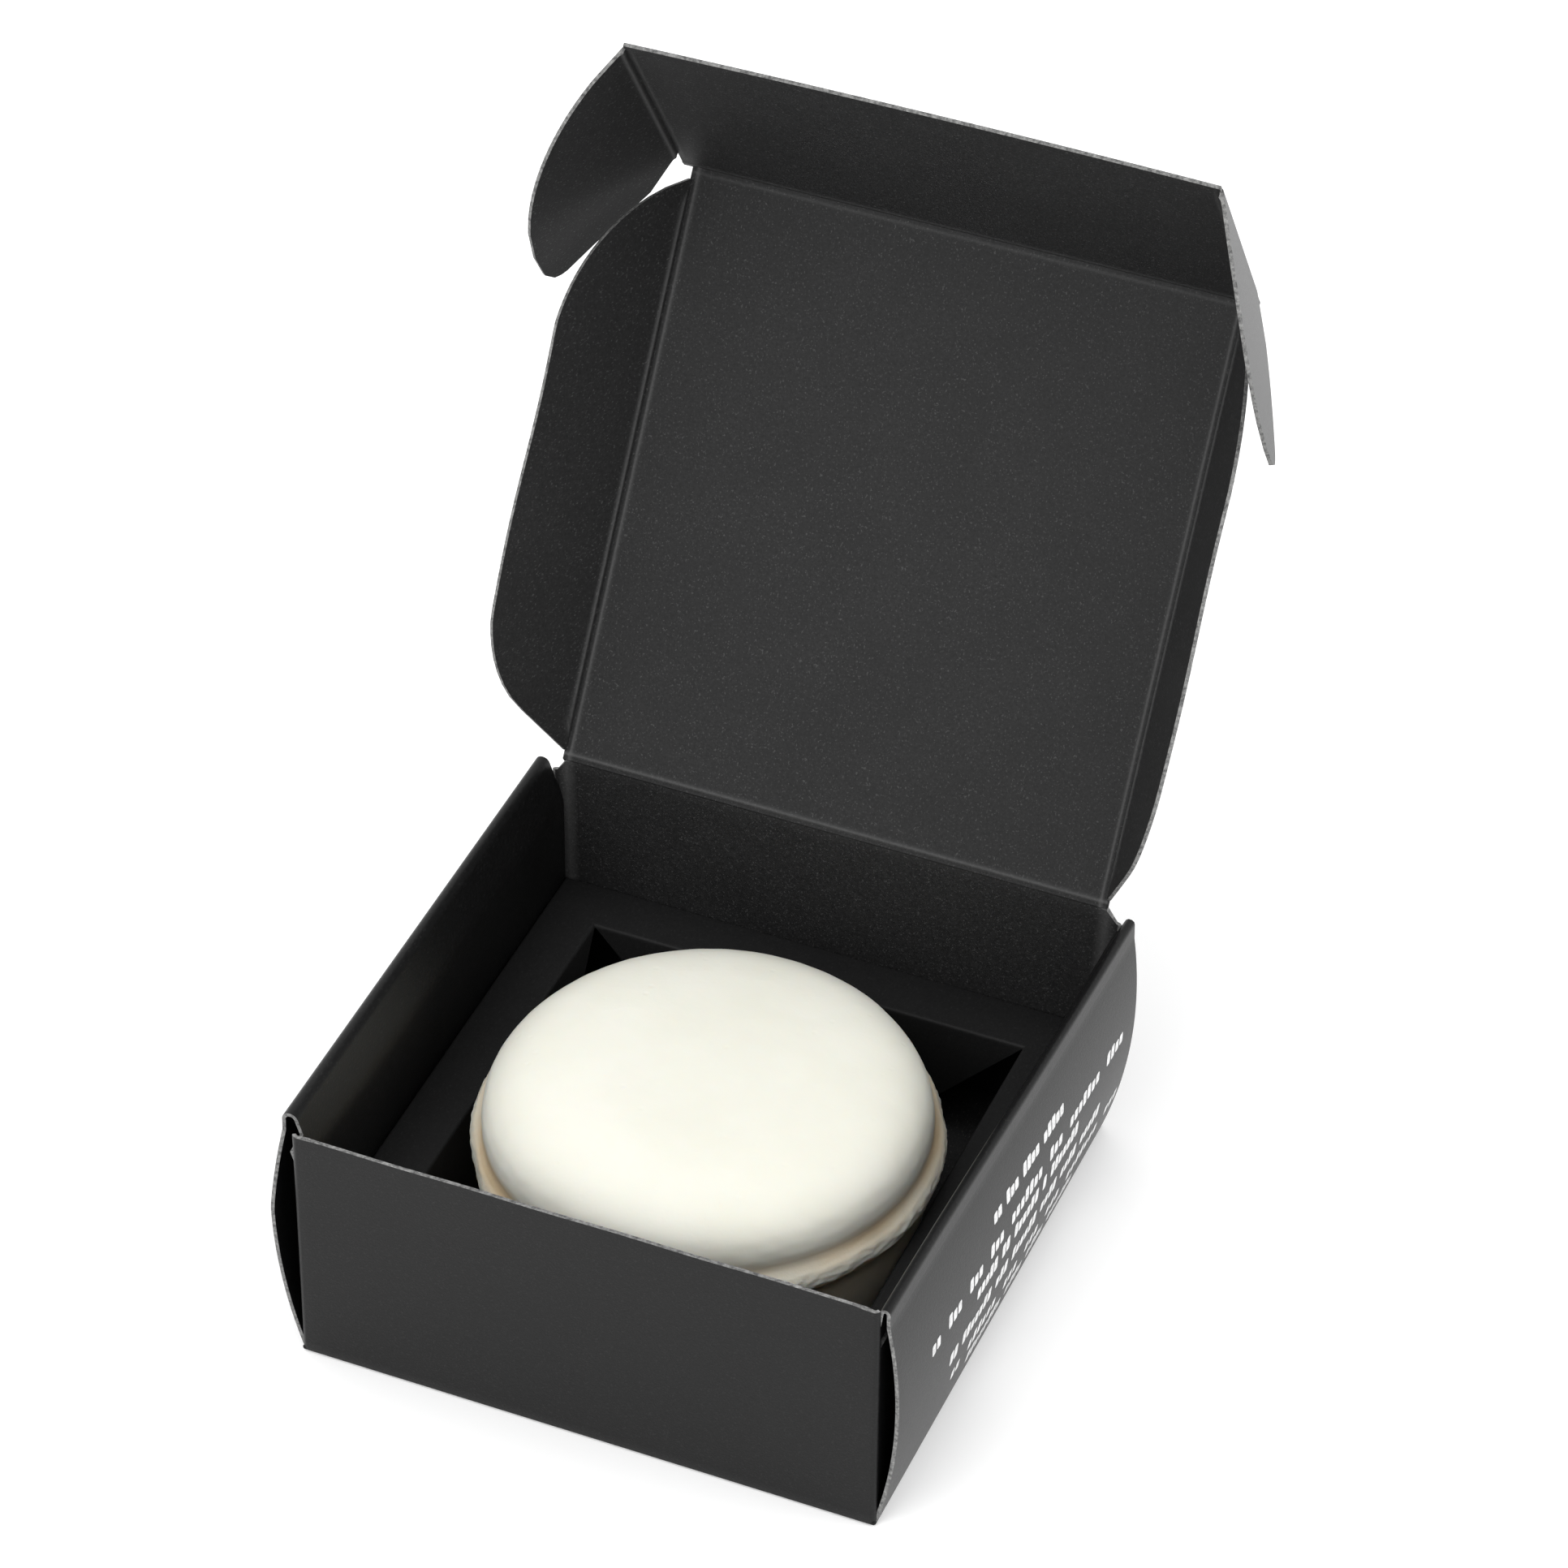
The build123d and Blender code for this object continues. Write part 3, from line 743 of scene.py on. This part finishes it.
profile = smooth_curve(outline, 7)
around = 400
rim_level = puck_top - 11.2
vertices, shade_and_rim_values = [], []
for radius, z in profile[1:-1]:
    for k in range(around):
        angle = 2 * pi * k / around
        c, s = cos(angle), sin(angle)
        spot = Vector((c * 3.0, s * 3.0, z * 0.12))
        sway = 0.0035 * sin(2 * angle + 0.6) + 0.003 * sin(3 * angle + 2.0)
        coarse = noise.noise(spot * 0.9)
        fine = noise.noise(Vector((c * 14.0, s * 14.0, z * 0.8)))
        chips = max(0.0, noise.noise(Vector((c * 3.2 + 5.0, s * 3.2, 1.7))) - 0.05)
        grit = noise.noise(Vector((c * 34.0, s * 34.0, z * 1.6)))
        on_rim = np.exp(-((z - rim_level) / 1.7) ** 2) if radius > 28.0 else 0.0
        on_groove = np.exp(-((z - (puck_top - 9.1)) / 1.25) ** 2) if radius > 26.0 else 0.0
        swell = radius * sway + 0.10 * coarse + 0.05 * fine
        swell -= on_rim * (0.9 * chips + 0.22 * (0.5 + fine) + 0.16 * (0.5 + grit))
        swell += on_groove * 0.25 * coarse
        r = min(max(radius + swell * min(1.0, radius / 12.0), 0.01), rim_radius)
        ripple = noise.noise(Vector((c * 4.0, s * 4.0, 9.0)))
        lift = on_rim * (0.55 * ripple + 0.15 * fine) + on_groove * 0.2 * coarse
        on_top = min(1.0, max(0.0, (z - puck_top + 6.0) / 5.0))
        dish = 0.12 * noise.noise(Vector((c * radius * 0.06, s * radius * 0.06, 4.0))) - 0.07
        height = min(z + lift + on_top * dish, puck_top)
        vertices.append(((puck_centre[0] + r * c) * millimetre, (puck_centre[1] + r * s) * millimetre,
                         max(height, puck_sole) * millimetre))
        # Painted shade masks: one for the groove, and one for the foot under the rim that is strongest just
        # under the rim and fades to a third towards the sole. The third value marks the rim for its bump.
        below = min(1.0, 0.35 + 0.65 * exp((z - rim_level) / 4.0)) if z < rim_level - 0.8 else 0.0
        shade_and_rim_values.append((min(1.0, on_groove * (0.75 + 0.8 * coarse)), below, on_rim))
loops = len(profile) - 2
faces = []
for j in range(loops - 1):
    for k in range(around):
        n = (k + 1) % around
        faces.append((j * around + k, (j + 1) * around + k, (j + 1) * around + n, j * around + n))
top_pole, sole_pole = len(vertices), len(vertices) + 1
vertices.append((puck_centre[0] * millimetre, puck_centre[1] * millimetre, (puck_top - 0.07) * millimetre))
vertices.append((puck_centre[0] * millimetre, puck_centre[1] * millimetre, puck_sole * millimetre))
shade_and_rim_values += [(0, 0, 0), (0, 1, 0)]
for k in range(around):
    n = (k + 1) % around
    faces.append((top_pole, k, n))
    faces.append((sole_pole, (loops - 1) * around + n, (loops - 1) * around + k))
puck_mesh = bpy.data.meshes.new("puck")
puck_mesh.from_pydata(vertices, [], faces)
# A colour layer holding the painted-shade masks for the groove and under the rim, and the rim mask for the
# roughness bump.
mould_stain = puck_mesh.color_attributes.new("mould_stain", "FLOAT_COLOR", "POINT")
mould_stain.data.foreach_set("color", [value for s in shade_and_rim_values for value in (*s, 1.0)])
puck_mesh.shade_smooth()
puck = bpy.data.objects.new("soap_puck_casting", puck_mesh)
bpy.context.scene.collection.objects.link(puck)

soap = Finish("ivory_soap", {"Subsurface Weight": 0.25, "Subsurface Scale": 0.0025,
                             "Specular IOR Level": 0.35})
soap.shader.inputs["Subsurface Radius"].default_value = (1.0, 0.62, 0.35)
marks = soap.add("ShaderNodeAttribute", {"attribute_name": "mould_stain"}, {}, "Color")
groove_shade_mask = soap.add("ShaderNodeSeparateColor", {}, {0: marks}, 0)
under_rim_shade_mask = soap.add("ShaderNodeSeparateColor", {}, {0: marks}, 1)
rim_mark = soap.add("ShaderNodeSeparateColor", {}, {0: marks}, 2)
cloudy = soap.grain(60, 3.0)
ivory = soap.blend(soap.ramp(cloudy, (0.35, 0.0), (0.65, 1.0)),
                   (0.725, 0.72, 0.635, 1), (0.755, 0.75, 0.675, 1))
# Painted shade: the groove is tinted tan and the foot under the rim amber, standing in for the shade in those
# hollows.
ivory_with_groove_shade = soap.blend(groove_shade_mask * (0.6 + 0.7 * cloudy), ivory, (0.60, 0.47, 0.30, 1))
ivory_with_groove_and_under_rim_shade = soap.blend(under_rim_shade_mask * 0.85, ivory_with_groove_shade, (0.58, 0.42, 0.22, 1))
speck = soap.ramp(soap.grain(420, 1.0), (0.80, 0.0), (0.84, 1.0))
soap.feed("Base Color", soap.blend(speck * 0.5, ivory_with_groove_and_under_rim_shade, (0.85, 0.62, 0.38, 1)))
soap.feed("Roughness", 0.42 + 0.15 * soap.grain(500, 3.0))
pits = soap.add("ShaderNodeTexVoronoi", {"feature": "F1"}, {"Vector": soap.place(), "Scale": 330.0},
                "Distance")
pitted = soap.ramp(pits, (0.0, 0.0), (0.16, 1.0)) * soap.ramp(soap.grain(120, 1.0), (0.45, 1.0), (0.62, 0.0))
crumb = soap.grain(900, 4.0, 0.6) * (0.25 + 1.2 * rim_mark)
soap.roughen(crumb + 0.5 * pitted, 0.25, 0.00035)
puck_mesh.materials.append(soap.material)
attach(puck, "puck")
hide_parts("soap_puck")


# ---- Printed directions ----------------------------------------------------------------
# White ink on the right outer wall: centred rows of plain dashes stand where lines of small
# print would be.  A node tree lays one rounded dash on each word's place and follows the bulge.

ink = Finish("white_ink", {"Specular IOR Level": 0.3})
patch = ink.grain(2200, 2.0)
ink.feed("Base Color", ink.blend(ink.ramp(patch, (0.3, 0.0), (0.6, 1.0)),
                                 (0.50, 0.50, 0.50, 1), (0.74, 0.74, 0.74, 1)))
ink.feed("Roughness", 0.6 + 0.15 * patch)

# Each row: its height, its two ends, the gap between words in letters, and the words' lengths.
row_words = [
    (26.0, -9.0, 14.0, 1.0, (2, 3, 4, 5)),
    (21.0, -29.0, 35.0, 1.6, (2, 3, 3, 3, 7, 3, 7, 4)),
    (17.4, -14.0, 20.0, 1.0, (5, 2, 6, 1, 7)),
    (12.9, -22.0, 29.0, 1.0, (2, 7, 3, 6, 4, 4, 5)),
    (8.3, -20.0, 38.0, 1.6, (2, 6, 3, 3, 3, 7, 3)),
    (4.7, -13.0, 24.0, 1.0, (8, 4, 4, 6)),
]
ray_start = 0.06
places, heights = [], []
for row_height, row_start, row_end, gap_share, words in row_words:
    letter_pitch = (row_end - row_start) / (sum(words) + gap_share * (len(words) - 1))
    y = row_start
    for word in words:
        for letter in range(word):
            tall = (7 * letter + 3 * word + int(row_height)) % 5 in (0, 3)
            height, rise = (2.3, 0.25) if tall else (1.75, 0.0)
            heights.append(height * millimetre)
            places.append((ray_start, (y + letter_pitch / 2) * millimetre, (row_height + rise) * millimetre))
            y += letter_pitch
        y += gap_share * letter_pitch
letter_mesh = bpy.data.meshes.new("letters")
letter_mesh.from_pydata(places, [], [])
height_layer = letter_mesh.attributes.new("dash_height", "FLOAT", "POINT")
height_layer.data.foreach_set("value", heights)
letters = bpy.data.objects.new("printed_rows", letter_mesh)
bpy.context.scene.collection.objects.link(letters)

tree = bpy.data.node_groups.new("dashes_on_a_wall", "GeometryNodeTree")
tree.interface.new_socket("Geometry", in_out="INPUT", socket_type="NodeSocketGeometry")
wall_socket = tree.interface.new_socket("Wall", in_out="INPUT", socket_type="NodeSocketObject")
width_socket = tree.interface.new_socket("Dash width", in_out="INPUT", socket_type="NodeSocketFloat")
film_socket = tree.interface.new_socket("Ink film", in_out="INPUT", socket_type="NodeSocketFloat")
tree.interface.new_socket("Geometry", in_out="OUTPUT", socket_type="NodeSocketGeometry")


def knot(kind, settings=None, inputs=None):
    node = tree.nodes.new(kind)
    for setting, value in (settings or {}).items():
        setattr(node, setting, value)
    for socket, value in (inputs or {}).items():
        if isinstance(value, bpy.types.NodeSocket):
            tree.links.new(value, node.inputs[socket])
        else:
            node.inputs[socket].default_value = value
    return node.outputs


given = tree.nodes.new("NodeGroupInput").outputs
frame_line = knot("GeometryNodeCurvePrimitiveQuadrilateral", {"mode": "RECTANGLE"},
                  {"Width": 1.0, "Height": 1.0})
rounded = knot("GeometryNodeFilletCurve", {"mode": "POLY"},
               {"Curve": frame_line[0], "Count": 3, "Radius": 0.22})
dash = knot("GeometryNodeFillCurve", {"mode": "NGONS"}, {"Curve": rounded[0]})
dash_height = knot("GeometryNodeInputNamedAttribute", {"data_type": "FLOAT"}, {"Name": "dash_height"})
dash_size = knot("ShaderNodeCombineXYZ", None, {"X": dash_height[0], "Y": given["Dash width"], "Z": 1.0})
laid = knot("GeometryNodeInstanceOnPoints", None,
            {"Points": given[0], "Instance": dash[0], "Rotation": (0.0, radians(90), 0.0),
             "Scale": dash_size[0]})
real = knot("GeometryNodeRealizeInstances", None, {0: laid[0]})
wall = knot("GeometryNodeObjectInfo", {"transform_space": "RELATIVE"}, {"Object": given["Wall"]})
struck = knot("GeometryNodeRaycast", None,
              {"Target Geometry": wall["Geometry"], "Ray Direction": (-1.0, 0.0, 0.0), "Ray Length": 0.1})
film = knot("ShaderNodeCombineXYZ", None, {"X": given["Ink film"]})
on_wall = knot("ShaderNodeVectorMath", {"operation": "ADD"}, {0: struck["Hit Position"], 1: film[0]})
moved = knot("GeometryNodeSetPosition", None, {"Geometry": real[0], "Position": on_wall[0]})
inked = knot("GeometryNodeSetMaterial", None, {"Geometry": moved[0], "Material": ink.material})
tree.links.new(inked[0], tree.nodes.new("NodeGroupOutput").inputs[0])

layer = letters.modifiers.new("dashes", "NODES")
layer.node_group = tree
layer[wall_socket.identifier] = bpy.data.objects["side_wall_right"]
layer[width_socket.identifier] = 1.14 * millimetre
layer[film_socket.identifier] = 0.02 * millimetre
bpy.context.view_layer.update()
dashes_mesh = bpy.data.meshes.new_from_object(letters.evaluated_get(bpy.context.evaluated_depsgraph_get()))
letters.modifiers.remove(layer)
bpy.data.objects.remove(letters)
dashes = bpy.data.objects.new("printed_dashes", dashes_mesh)
bpy.context.scene.collection.objects.link(dashes)
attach(dashes, "tray")
